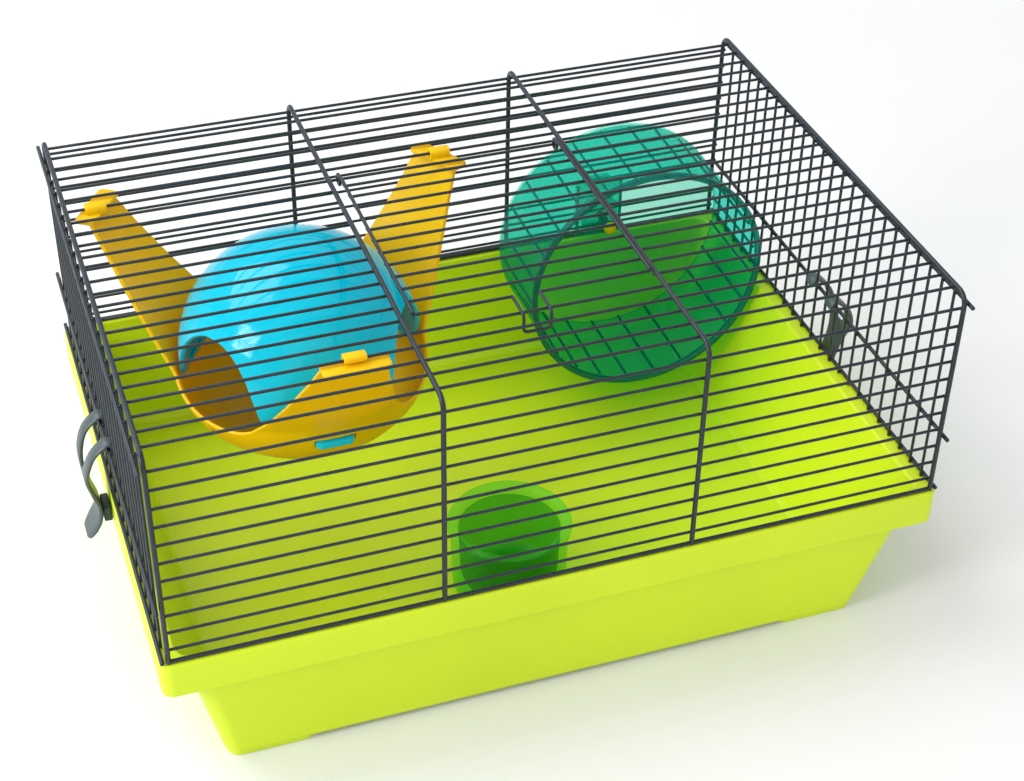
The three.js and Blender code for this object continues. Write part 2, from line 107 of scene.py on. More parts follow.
# ---- mesh code ---------------------------------------------------------------------
class Shape:
    """Vertices in millimetres, faces, and a material number for each face."""

    def __init__(self):
        self.verts, self.faces, self.looks = [], [], []

    def add(self, verts, faces, look=0):
        base = len(self.verts)
        self.verts += [Vector(v) for v in verts]
        self.faces += [[base + i for i in face] for face in faces]
        self.looks += [look] * len(faces)
        return self


def soften(points, cut, steps=4, closed=False):
    """Rounds the corners of a line of points of any dimension, cut back by a length each."""
    count, out = len(points), []
    for i, p in enumerate(points):
        if not closed and i in (0, count - 1):
            out.append(tuple(p))
            continue
        c = cut[i] if isinstance(cut, (list, tuple)) else cut
        a, b = points[i - 1], points[(i + 1) % count]
        ends = []
        for q in (a, b):
            length = math.dist(p, q)
            share = min(c, 0.49 * length) / length if length else 0
            ends.append([u + (v - u) * share for u, v in zip(p, q)])
        for k in range(steps + 1):
            t = k / steps
            out.append(tuple((1 - t) ** 2 * u + 2 * t * (1 - t) * v + t * t * w
                             for u, v, w in zip(ends[0], p, ends[1])))
    return out


def bridge(rings, cap=True):
    """Joins rings of equal length with quads, and caps the two ends."""
    n, last = len(rings[0]), len(rings) - 1
    verts = [v for ring in rings for v in ring]
    faces = []
    for r in range(last):
        for i in range(n):
            j = (i + 1) % n
            faces.append([r * n + i, r * n + j, (r + 1) * n + j, (r + 1) * n + i])
    if cap:
        faces.append(list(range(n))[::-1])
        faces.append([last * n + i for i in range(n)])
    return verts, faces


def rounded_ring(half_x, half_y, radius, z, steps=8, cx=0.0, cy=0.0):
    ring = []
    for sx, sy, start in ((1, 1, 0), (-1, 1, 90), (-1, -1, 180), (1, -1, 270)):
        for i in range(steps + 1):
            a = math.radians(start + 90 * i / steps)
            ring.append((cx + sx * (half_x - radius) + radius * math.cos(a),
                         cy + sy * (half_y - radius) + radius * math.sin(a), z))
    return ring


def lathe(profile, steps, axis, a, b, closed=False):
    """Turns [radius, height] points about Z through (a, b), or about Y through x a, z b."""
    def place(r, t, h):
        u, v = r * math.cos(t), r * math.sin(t)
        return (a + u, b + v, h) if axis == "z" else (a + u, h, b + v)

    verts, rows, faces = [], [], []
    for r, h in profile:
        count = 1 if r < 1e-6 else steps
        rows.append([len(verts) + i for i in range(count)])
        verts += [place(r, TAU * i / steps, h) for i in range(count)]
    pairs = list(zip(rows, rows[1:])) + ([(rows[-1], rows[0])] if closed else [])
    for low, high in pairs:
        for i in range(steps):
            j = (i + 1) % steps
            if len(low) == 1 and len(high) == 1:
                continue
            if len(low) == 1:
                faces.append([low[0], high[j], high[i]])
            elif len(high) == 1:
                faces.append([low[i], low[j], high[0]])
            else:
                faces.append([low[i], low[j], high[j], high[i]])
    return verts, faces


def sweep(path, section, up=None, ends=()):
    """Carries a flat section of (u, v) points along an open path. ends gives (out, scale)
    rings that round off each end: out is the step past the path's end."""
    pts = [Vector(p) for p in path]
    first, last = (pts[0] - pts[1]).normalized(), (pts[-1] - pts[-2]).normalized()
    head = [(pts[0] + first * out, scale) for out, scale in reversed(ends)]
    tail = [(pts[-1] + last * out, scale) for out, scale in ends]
    line = head + [(p, 1.0) for p in pts] + tail
    n = len(line)
    tangents = [(line[min(i + 1, n - 1)][0] - line[max(i - 1, 0)][0]).normalized()
                for i in range(n)]
    guide = Vector(up) if up else (Vector((0, 0, 1)) if abs(tangents[0].z) < 0.9
                                   else Vector((1, 0, 0)))
    normal = (guide - tangents[0] * guide.dot(tangents[0])).normalized()
    rings = []
    for (p, scale), t in zip(line, tangents):
        base = Vector(up) if up else normal
        normal = (base - t * base.dot(t)).normalized()
        side = t.cross(normal)
        rings.append([p + side * (u * scale) + normal * (v * scale) for u, v in section])
    return bridge(rings)


def circle(radius, sides=12):
    return [(radius * math.cos(TAU * i / sides), radius * math.sin(TAU * i / sides))
            for i in range(sides)]


def wire(path, radius, sides=12):
    """A round wire with slightly domed, sheared ends."""
    return sweep(path, circle(radius, sides),
                 ends=((0.18 * radius, 0.93), (0.34 * radius, 0.7)))


def slab(half_u, half_v, radius, steps=3):
    """A rounded rectangular section for straps and tabs."""
    return [(u, v) for u, v, _ in rounded_ring(half_u, half_v, radius, 0, steps)]


def pillow(cx, cy, half_x, half_y, radius, low, high, edge, steps=6):
    """A plate with rounded corners and softened top and bottom edges."""
    part = 0.3 * edge
    levels = [(edge, low), (part, low + part), (0.0, low + edge),
              (0.0, high - edge), (part, high - part), (edge, high)]
    return bridge([rounded_ring(half_x - back, half_y - back, max(radius - back, 0.05), z,
                                steps, cx, cy) for back, z in levels])


WELD_SIDES, WELD_FLAT, WELD_WIDE = 8, 0.62, 1.15


def weld(shape, at, along, across, size):
    """The small puddle of metal and coating where two wires are welded together."""
    a, c = Vector(along).normalized(), Vector(across).normalized()
    n = a.cross(c)
    rings = []
    for lat in (-62, -30, 0, 30, 62):
        s, h = math.cos(math.radians(lat)), math.sin(math.radians(lat))
        rings.append([Vector(at) + n * (h * size * WELD_FLAT)
                      + a * (math.cos(TAU * i / WELD_SIDES) * s * size * WELD_WIDE)
                      + c * (math.sin(TAU * i / WELD_SIDES) * s * size * WELD_WIDE)
                      for i in range(WELD_SIDES)])
    shape.add(*bridge(rings))


def smooth_line(points, per_span):
    """A curve through points of any dimension, with per_span steps between each two."""
    out = []
    n = len(points)
    for i in range(n - 1):
        p0, p1 = points[max(i - 1, 0)], points[i]
        p2, p3 = points[i + 1], points[min(i + 2, n - 1)]
        for k in range(per_span):
            t = k / per_span
            out.append(tuple(0.5 * (2 * b + (c - a) * t + (2 * a - 5 * b + 4 * c - d) * t * t
                                    + (3 * b - a - 3 * c + d) * t ** 3)
                             for a, b, c, d in zip(p0, p1, p2, p3)))
    out.append(tuple(points[-1]))
    return out


def turn_on_nest(verts, degrees):
    """Turns vertices about the upright line through the nest's middle."""
    c, s = math.cos(math.radians(degrees)), math.sin(math.radians(degrees))
    return [(NEST_X + (x - NEST_X) * c - (y - NEST_Y) * s,
             NEST_Y + (x - NEST_X) * s + (y - NEST_Y) * c, z) for x, y, z in verts]


def piece(name, shape, body, looks, nodes, crease=35, weighted=False):
    """Makes the mesh, gives it its looks, and puts it on its body in place of CAD nodes."""
    mesh = bpy.data.meshes.new(name)
    mesh.from_pydata([v * MM for v in shape.verts], [], shape.faces)
    for look in looks:
        mesh.materials.append(look)
    mesh.polygons.foreach_set("material_index", shape.looks)
    bm = bmesh.new()
    bm.from_mesh(mesh)
    bmesh.ops.recalc_face_normals(bm, faces=bm.faces)
    bm.to_mesh(mesh)
    bm.free()
    mesh.shade_smooth()
    mesh.set_sharp_from_angle(angle=math.radians(crease))
    obj = bpy.data.objects.new(name, mesh)
    bpy.context.scene.collection.objects.link(obj)
    if weighted:
        modifier = obj.modifiers.new("flat_faces", "WEIGHTED_NORMAL")
        modifier.keep_sharp = True
    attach(obj, body)
    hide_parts(*nodes)


# ---- materials ---------------------------------------------------------------------
class Graph:
    """A short way to write a node tree."""

    def __init__(self, name):
        self.material = bpy.data.materials.new(name)
        self.material.use_nodes = True
        self.tree = self.material.node_tree
        self.tree.nodes.clear()

    def add(self, kind, settings=(), **links):
        node = self.tree.nodes.new(kind)
        for key, value in dict(settings).items():
            if isinstance(key, str) and hasattr(node, key):
                setattr(node, key, value)
            else:
                node.inputs[key].default_value = value
        for key, source in links.items():
            slot = int(key[1:]) if key[0] == "_" and key[1:].isdigit() else key.replace("_", " ")
            self.tree.links.new(source, node.inputs[slot])
        return node

    def place(self, scale, turn_by=(0, 0, 0)):
        coords = self.add("ShaderNodeTexCoord")
        mapping = self.add("ShaderNodeMapping", {"Scale": scale, "Rotation": turn_by},
                           Vector=coords.outputs["Object"])
        return mapping.outputs[0]

    def noise(self, scale, detail=2.0, stretch=(1, 1, 1), turn_by=(0, 0, 0)):
        return self.add("ShaderNodeTexNoise", {"Scale": scale, "Detail": detail},
                        Vector=self.place(stretch, turn_by)).outputs[0]

    def span(self, value, low, high, to_low, to_high):
        return self.add("ShaderNodeMapRange", {"From Min": low, "From Max": high,
                                               "To Min": to_low, "To Max": to_high},
                        Value=value).outputs[0]

    def mix(self, share, a, b):
        """Blends two colours, each a tuple or a socket, by a share from 0 to 1."""
        node = self.add("ShaderNodeMix", {"data_type": "RGBA"})
        for slot, value in ((0, share), (6, a), (7, b)):
            if isinstance(value, bpy.types.NodeSocket):
                self.tree.links.new(value, node.inputs[slot])
            else:
                node.inputs[slot].default_value = value if slot == 0 else (*value, 1)[:4]
        return node.outputs[2]

    def add_up(self, a, b):
        return self.add("ShaderNodeMath", {"operation": "ADD"}, _0=a, _1=b).outputs[0]

    def finish(self, shader):
        self.add("ShaderNodeOutputMaterial", Surface=shader.outputs[0])
        return self.material


def shade(colour, by):
    return tuple(min(1.0, c * by) for c in colour)


def moulded(name, colour, rough, tone=0.05, peel=0.1, scuff=0.06, gloss=0.5,
            solid=None, tint=None, glow=0.0, through=None):
    """Injection-moulded plastic: slow colour drift, fine orange peel, faint handling marks.
    solid and tint make it see-through: solid is the share of light that it stops. glow is
    the share that comes through a thin wall instead, coloured by through."""
    g = Graph(name)
    drift = g.noise(9.0, 2.0)
    base = g.mix(g.span(drift, 0.3, 0.7, 0.0, 1.0), shade(colour, 1 - tone),
                 shade(colour, 1 + tone))
    speckle = g.span(g.noise(620.0, 2.0), 0.4, 0.8, 0.0, 0.07)
    base = g.mix(speckle, base, shade(colour, 0.8))
    marks = g.span(g.noise(34.0, 4.0, (1, 14, 3), (0.2, 0.4, 0.7)), 0.64, 0.74, 0.0, scuff)
    roughness = g.add_up(g.span(g.noise(48.0, 3.0), 0.3, 0.7, rough[0], rough[1]), marks)
    bump = g.add("ShaderNodeBump", {"Strength": peel, "Distance": 0.0003},
                 Height=g.noise(760.0, 2.0))
    body = g.add("ShaderNodeBsdfPrincipled",
                 {"IOR": 1.5, "Specular IOR Level": gloss},
                 Base_Color=base, Roughness=roughness, Normal=bump.outputs[0])
    if glow:
        passed = g.mix(0.15, through or colour, base)
        behind = g.add("ShaderNodeBsdfTranslucent", Color=passed)
        body = g.add("ShaderNodeMixShader", {0: glow}, _1=body.outputs[0],
                     _2=behind.outputs[0])
    if solid is None:
        return g.finish(body)
    clear = g.add("ShaderNodeBsdfTransparent", {"Color": (*tint, 1)})
    share = g.span(g.noise(18.0, 2.0), 0.3, 0.7, solid * 0.85, min(1.0, solid * 1.15))
    return g.finish(g.add("ShaderNodeMixShader", _0=share, _1=clear.outputs[0],
                          _2=body.outputs[0]))


def coated_wire():
    """Epoxy-coated steel wire: thin places in the coat show a paler, rougher grey."""
    g = Graph("coated_wire")
    runs = g.noise(160.0, 3.0)
    thin = g.span(g.noise(420.0, 4.0), 0.6, 0.72, 0.0, 1.0)
    base = g.mix(g.span(runs, 0.3, 0.7, 0.0, 1.0), (0.009, 0.015, 0.022),
                 (0.016, 0.025, 0.034))
    base = g.mix(g.span(thin, 0.0, 1.0, 0.0, 0.2), base, (0.07, 0.09, 0.11))
    roughness = g.add_up(g.span(runs, 0.3, 0.7, 0.26, 0.42), g.span(thin, 0, 1, 0, 0.12))
    bump = g.add("ShaderNodeBump", {"Strength": 0.25, "Distance": 0.0003},
                 Height=g.noise(900.0, 3.0))
    return g.finish(g.add("ShaderNodeBsdfPrincipled",
                          {"IOR": 1.52, "Coat Weight": 0.08, "Coat Roughness": 0.2,
                           "Specular IOR Level": 0.34},
                          Base_Color=base, Roughness=roughness, Normal=bump.outputs[0]))


LIME = moulded("lime_tray", (0.65, 0.81, 0.014), (0.34, 0.46), gloss=0.42, glow=0.06)
WIRE = coated_wire()
GREY = moulded("grey_clip", (0.06, 0.08, 0.086), (0.34, 0.46), tone=0.1, scuff=0.12)
# Clip pad: near-black, painted shade for the clip's shadowed inner catch.
PAD_SHADE = moulded("pad_painted_shade", (0.02, 0.035, 0.035), (0.5, 0.62), tone=0.15)
YELLOW = moulded("yellow_nest", (0.96, 0.69, 0.003), (0.3, 0.42), gloss=0.3, glow=0.34,
                 through=(1.0, 0.40, 0.0))
BLUE = moulded("blue_dome", (0.0, 0.50, 0.68), (0.07, 0.11), peel=0.04, gloss=0.28)
TEAL = moulded("teal_track", (0.03, 0.48, 0.42), (0.1, 0.18), peel=0.06, solid=0.13,
               tint=(0.31, 0.87, 0.80))
TEAL_PALE = moulded("teal_disc", (0.03, 0.5, 0.42), (0.1, 0.18), peel=0.05, solid=0.11,
                    tint=(0.62, 0.93, 0.84))
TEAL_DEEP = moulded("teal_ribs", (0.004, 0.20, 0.19), (0.14, 0.22), peel=0.06, solid=0.45,
                    tint=(0.14, 0.6, 0.56))
GREEN = moulded("green_cup", (0.14, 0.6, 0.08), (0.09, 0.17), peel=0.06, solid=0.16,
                tint=(0.70, 0.98, 0.62))
# The cup's well: a darker, denser green, painted shade for the shadow and stacked walls seen
# inside it.
GREEN_WELL_SHADE = moulded("green_well_painted_shade", (0.01, 0.26, 0.03), (0.09, 0.17), peel=0.06, solid=0.2,
                     tint=(0.26, 0.66, 0.36))


# ---- tray --------------------------------------------------------------------------
BASE_X, BASE_L, BASE_W = -4.0, 173.0, 139.0    # the tray's foot: middle and half sizes
RIM_L, RIM_W, SKIRT_DROP = 204.5, 145.0, 20.0  # the skirt outside: half sizes, and height
SHELL, SKIRT_SHELL = 2.2, 2.2                  # wall thicknesses
UNDER_Z, FLOOR_Z = 2.6, 5.0                    # the floor's underside and top
FOOT_X, FOOT_Y, FOOT_IN = 22.5, 15.0, 1.2      # the corner feet: half sizes, and inset


def make_tray():
    """One shell, lofted from rounded rectangles, and four feet under its corners."""
    top = tray_high.z
    low = top - SKIRT_DROP
    # Half length, half width, corner radius, height and middle x, up the outside, round the
    # skirt and down the inside.
    profile = [(BASE_L - 1.2, BASE_W - 1.2, 7, UNDER_Z, BASE_X),
               (BASE_L, BASE_W, 8, 4.2, BASE_X),
               (190, 141.5, 10, low, 0), (197.5, 141.7, 9, top - SHELL, 0),
               (RIM_L - SKIRT_SHELL, RIM_W - SKIRT_SHELL, 4, top - SHELL, 0),
               (RIM_L - SKIRT_SHELL, RIM_W - SKIRT_SHELL, 4, low, 0),
               (RIM_L, RIM_W, 6, low, 0), (RIM_L, RIM_W, 6, top - 1.2, 0),
               (RIM_L - 1.2, RIM_W - 1.2, 5, top, 0), (195.3, 139.6, 8, top, 0),
               (187.8, 139, 8, low, 0),
               (BASE_L - SHELL, BASE_W - SHELL, 6, 7.6, BASE_X),
               (BASE_L - 5, BASE_W - 5, 5, FLOOR_Z, BASE_X)]
    cuts = [0, 1.0, 3.0, 1.5, 1.0, 0.5, 0.5, 0.9, 0.9, 1.6, 5.0, 2.6, 0]
    rings = [rounded_ring(a, b, r, z, cx=x) for a, b, r, z, x in soften(profile, cuts, 4)]
    flat_under = rounded_ring(150, 115, 4, UNDER_Z, cx=BASE_X)
    flat_floor = rounded_ring(150, 115, 4, FLOOR_Z, cx=BASE_X)
    shape = Shape().add(*bridge([flat_under, *rings, flat_floor]))
    for sx in (-1, 1):
        for sy in (-1, 1):
            shape.add(*pillow(BASE_X + sx * (BASE_L - FOOT_IN - FOOT_X),
                              sy * (BASE_W - FOOT_IN - FOOT_Y), FOOT_X, FOOT_Y, 7,
                              0.0, 3.5, 0.7))
    piece("tray_shell", shape, "tray", [LIME], ["tray"], 40, True)


# ---- wire top ----------------------------------------------------------------------
def hoop_path(x):
    """The centre line of a hoop: up the front wall, over the roof and down the back."""
    steps = 8
    half = [(x, HALF_W, BASE_Z + 0.6), (x, HALF_W, 140)]
    for i in range(steps + 1):
        a = math.radians(90 * i / steps)
        half.append((x, HALF_W - CORNER_R + CORNER_R * math.cos(a),
                     HOOP_TOP - CORNER_R + CORNER_R * math.sin(a)))
    return half + [(x, -y, z) for _, y, z in reversed(half)]


def make_hoops():
    """The four bent hoops that carry every bar of the walls and roof."""
    shape = Shape()
    for x in HOOPS_X:
        shape.add(*wire(hoop_path(x), HOOP_R, 14))
    piece("roof_hoops", shape, "wire_top", [WIRE], ["roof_wire_panel"])


def make_wall(name, node, side):
    """A long wall: its base wire, and its bars welded inside the hoops."""
    shape = Shape()
    bar_y = side * (HALF_W - DROP)
    ends = HALF_L + BAR_OVERHANG
    shape.add(*wire([(-HALF_L + 1, side * HALF_W, BASE_Z + BASE_R),
                     (HALF_L - 1, side * HALF_W, BASE_Z + BASE_R)], BASE_R, 14))
    for k in range(FRONT_BARS):
        z = front_z(k)
        shape.add(*wire([(-ends, bar_y, z), (ends, bar_y, z)], BAR_R))
        for x in HOOPS_X:
            weld(shape, (x, side * (HALF_W - 1.0), z), (1, 0, 0), (0, 0, 1), 1.15)
    piece(name, shape, "wire_top", [WIRE], [node])


def make_roof_bars():
    """The roof's bars, with those over the doorway cut short at the two middle hoops."""
    shape = Shape()
    z = HOOP_TOP - DROP
    end = HALF_L + BAR_OVERHANG
    for k in range(ROOF_BARS):
        y = roof_y(k)
        runs = [(-end, end)]
        if DOOR_FRONT <= k < DOOR_BACK:
            runs = [(-end, -MID_X + 1), (MID_X - 1, end)]
        for a, b in runs:
            shape.add(*wire([(a, y, z), (b, y, z)], BAR_R))
        for x in HOOPS_X:
            weld(shape, (x, y, HOOP_TOP - 1.0), (1, 0, 0), (0, 1, 0), 1.15)
    piece("roof_bars", shape, "wire_top", [WIRE], ["roof_wire_panel"])


def make_end(name, node, side):
    """An end panel: upright wires welded to three rails."""
    shape = Shape()
    wire_x, rail_x = side * (HALF_L + END_WIRE_OUT), side * (HALF_L + END_RAIL_OUT)
    for z in END_RAILS:
        out = HALF_W + (BASE_STUB if z == END_RAILS[0] else RAIL_STUB)
        shape.add(*wire([(rail_x, -out, z), (rail_x, out, z)], RAIL_R))
    for k in range(END_WIRES):
        y = (k - (END_WIRES - 1) / 2) * END_PITCH
        shape.add(*wire([(wire_x, y, BASE_Z + 0.3), (wire_x, y, END_TOP)], BAR_R))
        for z in END_RAILS:
            weld(shape, (wire_x + side * 0.8, y, z), (0, 1, 0), (0, 0, 1), 1.05)
    piece(name, shape, "wire_top", [WIRE], [node])


# ---- roof door ---------------------------------------------------------------------
def make_door():
    """Cross bars on two frame wires that curl round a roof bar as the hinge."""
    shape = Shape()
    bar_z, side_z = HOOP_TOP + DOOR_LIFT, HOOP_TOP + FRAME_LIFT
    axis_y, axis_z = roof_y(DOOR_BACK), HOOP_TOP - DROP
    for x in DOOR_SIDES:
        path = [(x, door_low.y + 0.3, side_z), (x, axis_y - 9, side_z),
                (x, axis_y - 5.5, side_z - 0.2), (x, axis_y - 3, side_z - 0.8)]
        for i in range(17):
            a = math.radians(100 - i * 20.5)
            path.append((x, axis_y + HOOK_R * math.cos(a), axis_z + HOOK_R * math.sin(a)))
        shape.add(*wire(path, FRAME_R))
    left, right = DOOR_SIDES
    for k in range(DOOR_FRONT, DOOR_BACK):
        y = roof_y(k)
        runs = [(left - 0.2, right + 0.2)]
        if k == DOOR_FRONT:
            runs = [(left - 0.2, LATCH_LEFT - 1.5), (LATCH_RIGHT + 1.5, right + 0.2)]
        for a, b in runs:
            shape.add(*wire([(a, y, bar_z), (b, y, bar_z)], BAR_R))
        for x in DOOR_SIDES:
            weld(shape, (x, y, bar_z + 0.8), (1, 0, 0), (0, 1, 0), 1.05)
    piece("door_wires", shape, "roof_door", [WIRE], ["roof_door"])


def make_latch():
    """The door's front wire carries on into a loop that springs down between two bars."""
    z, nose_z = HOOP_TOP + DOOR_LIFT, latch_low.z + 1
    front, nose = roof_y(DOOR_FRONT), (roof_y(3) + roof_y(4)) / 2
    path = [(LATCH_LEFT - 1.1, front, z), (LATCH_LEFT, front, z), (LATCH_LEFT, nose, z),
            (LATCH_LEFT, nose, nose_z), (LATCH_RIGHT, nose, nose_z), (LATCH_RIGHT, nose, z),
            (LATCH_RIGHT, front, z), (LATCH_RIGHT + 1.1, front, z)]
    cuts = [0, 1.0, 3.2, 2.6, 2.6, 3.2, 1.0, 0]
    shape = Shape().add(*wire(soften(path, cuts, 5), LATCH_R))
    piece("latch_wire", shape, "door_latch", [WIRE], ["door_latch_loop"])


# ---- side clips --------------------------------------------------------------------
CLIP_Y, CLIP_BAR, CLIP_CURL = -5.94, (203.0, 113.0), 3.1    # curls round the end's rail
CLIP_HALF_THICK, CLIP_SPLIT_Z = 1.1, 92        # its two ears part above this height
# The strap's centre line from the ears down to the thumb lip, as x and height; then its half
# width, and the half width of the gap between its ears, by height.
CLIP_LINE = [(206.4, 114.5), (211.6, 108.5), (215, 99), (215.4, 90), (213, 79),
             (210.6, 70), (211.2, 63), (214.6, 56.5), (218.2, 51)]
CLIP_HALF = [(120, 15.9), (110, 15.9), (103, 15.6), (98, 14.6), (92, 11.6), (86, 8.9),
             (80, 7.7), (70, 7.5), (65, 8.4), (61, 9.4), (56, 9.3), (52, 7.6), (49.8, 4.4)]
CLIP_WINDOW = [(120, 7.9), (108, 7.9), (103, 6.9), (98, 5.2), (94, 3.4), (92, 2.6)]


def read_off(table, at):
    """Linear look-up in a table of falling (height, value) pairs."""
    for (z0, v0), (z1, v1) in zip(table, table[1:]):
        if at >= z1:
            t = min(1.0, max(0.0, (z0 - at) / (z0 - z1)))
            return v0 + (v1 - v0) * t
    return table[-1][1]


def make_clip(name, node, body, side):
    """A bent strap, split into two ears that curl round the end panel's middle rail."""
    bar_x, bar_z = CLIP_BAR
    arc = [(bar_x + CLIP_CURL * math.cos(math.radians(a)),
            bar_z + CLIP_CURL * math.sin(math.radians(a))) for a in range(190, 20, -17)]
    line = arc + smooth_line(CLIP_LINE, 4)[1:]
    rows = []
    for i, (x, z) in enumerate(line):
        on_ear = i < len(arc)
        height = CLIP_HALF[0][0] if on_ear else z
        half = read_off(CLIP_HALF, height)
        hole = (read_off(CLIP_WINDOW, height) if height > CLIP_SPLIT_Z
                else CLIP_WINDOW[-1][1] * min(1.0, half / 9))
        us = [-half, -half + 0.8, -(half + hole) / 2, -hole - 0.8, -hole]
        rows.append(([*us, *[-u for u in reversed(us)]], height))
    verts, faces = [], []
    count = len(line)
    for i, (x, z) in enumerate(line):
        a, b = line[max(i - 1, 0)], line[min(i + 1, count - 1)]
        length = math.dist(a, b)
        nx, nz = (b[1] - a[1]) / length, -(b[0] - a[0]) / length
        for layer in (-1, 1):
            for j, u in enumerate(rows[i][0]):
                edge = j in (0, 9) or (j in (4, 5) and rows[i][1] > CLIP_SPLIT_Z)
                t = layer * CLIP_HALF_THICK * (0.45 if edge else 1.0)
                verts.append((side * (x + nx * t), CLIP_Y + u, z + nz * t))
    cols = 10

    def at(i, layer, j):
        return i * 2 * cols + layer * cols + j

    def is_open(i):
        return rows[i][1] > CLIP_SPLIT_Z and rows[min(i + 1, count - 1)][1] > CLIP_SPLIT_Z - 1

    for i in range(count - 1):
        open_here = is_open(i)
        for layer in (0, 1):
            for j in range(cols - 1):
                if j == 4 and open_here:
                    continue
                faces.append([at(i, layer, j), at(i, layer, j + 1), at(i + 1, layer, j + 1),
                              at(i + 1, layer, j)])
        sides = [0, cols - 1] + ([4, 5] if open_here else [])
        for j in sides:
            faces.append([at(i, 0, j), at(i, 1, j), at(i + 1, 1, j), at(i + 1, 0, j)])
        if open_here and not is_open(i + 1):
            faces.append([at(i + 1, 0, 4), at(i + 1, 1, 4), at(i + 1, 1, 5), at(i + 1, 0, 5)])
    for i, spans in ((0, ((0, 4), (5, 9))), (count - 1, ((0, 9),))):
        for lo, hi in spans:
            for j in range(lo, hi):
                faces.append([at(i, 0, j), at(i, 0, j + 1), at(i, 1, j + 1), at(i, 1, j)])
    shape = Shape().add(verts, faces)
    piece(name, shape, body, [GREY], [node], 50)


def make_clip_pad(name, node, body, side):
    """A block with three grip ridges, against the tray's rim; its near-black colour is painted
    shade for the shadowed catch.
    """
    middle = (pad_low + pad_high) / 2
    depth = pad_high.x - pad_low.x
    half_y, half_z = (pad_high.y - pad_low.y) / 2, (pad_high.z - pad_low.z) / 2
    verts, faces = pillow(0, 0, half_z, half_y, 1.6, 0, depth, 0.7)
    shape = Shape().add([(side * (pad_low.x + z), middle.y + y, middle.z + x)
                         for x, y, z in verts], faces)
    for rise in (-2.6, 0, 2.6):
        x = side * (pad_low.x + 0.25)
        ridge = [(x, middle.y + end, middle.z + rise) for end in (-5.6, 5.6)]
        shape.add(*sweep(ridge, circle(0.45, 8)))
    piece(name, shape, body, [PAD_SHADE], [node], 50)


# ---- wheel -------------------------------------------------------------------------
WHEEL_R, WHEEL_FRONT, WHEEL_BACK = 70.0, 54.0, 119.0
RUNGS, RUNG_R = 24, 0.8
AXLE_R, AXLE_BACK, HUB_BACK = 2.2, 134.2, 121.8
PLATE_FRONT, PLATE_BACK, PLATE_Z = 134.6, 137.6, 101.3      # the bracket's plate
SNAP_FRONT, SNAP_BACK = 136.4, 142.5
SNAPS = ((119.75, 117.0), (82.9, 85.8))        # heights of each snap's arm and of its lip


def ring_at(radius, y, degrees):
    """A point on a circle about the wheel's axis."""
    a = math.radians(degrees)
    return (WHEEL_X + radius * math.cos(a), y, WHEEL_Z + radius * math.sin(a))


def make_wheel():
    """The track with its rungs, the front ring, the back disc and the hub cap."""
    a, b = WHEEL_FRONT + 3.4, WHEEL_BACK - 2.4
    wall = soften([(WHEEL_R - 2, a), (WHEEL_R, a), (WHEEL_R, b), (WHEEL_R - 2, b)],
                  0.6, 2, True)
    shape = Shape().add(*lathe(wall, 96, "y", WHEEL_X, WHEEL_Z, True))
    for k in range(RUNGS):
        t = 360 * (k + 0.5) / RUNGS
        shape.add(*sweep([ring_at(WHEEL_R - 2.1, a + 0.6, t), ring_at(WHEEL_R - 2.1, b, t)],
                         circle(RUNG_R, 8)), 1)
    piece("wheel_running_track", shape, "wheel", [TEAL, TEAL_DEEP],
          ["wheel_track"])

    lip = soften([(WHEEL_R - 1.8, a - 0.1), (WHEEL_R - 1.8, WHEEL_FRONT + 0.6),
                  (WHEEL_R - 1.2, WHEEL_FRONT), (WHEEL_R + 0.8, WHEEL_FRONT),
                  (WHEEL_R + 1.5, WHEEL_FRONT + 0.7), (WHEEL_R + 1.5, a - 0.1)],
                 0.5, 3, True)
    shape = Shape().add(*lathe(lip, 128, "y", WHEEL_X, WHEEL_Z, True))
    piece("wheel_rim", shape, "wheel", [TEAL_DEEP],
          ["wheel_front_ring"])

    face = WHEEL_BACK - 2.2
    disc = [(2.6, face), (13, face), (WHEEL_R - 1, face), (WHEEL_R, face + 0.6),
            (WHEEL_R, WHEEL_BACK - 0.5), (WHEEL_R - 0.6, WHEEL_BACK), (8, WHEEL_BACK),
            (6.2, WHEEL_BACK + 0.8), (6, HUB_BACK), (2.6, HUB_BACK)]
    shape = Shape().add(*lathe(disc, 96, "y", WHEEL_X, WHEEL_Z, True))
    piece("wheel_disc", shape, "wheel", [TEAL_PALE],
          ["wheel_back_disc"])

    back = face - 0.3
    cap = [(0, back - 3.4), (1.2, back - 3.36), (2.4, back - 3.05), (3.3, back - 2.4),
           (3.75, back - 1.4), (3.8, back - 0.2), (3.5, back), (0, back)]
    shape = Shape().add(*lathe(cap, 32, "y", WHEEL_X, WHEEL_Z))
    piece("hub_cap", shape, "wheel", [YELLOW], ["wheel_hub_cap"])


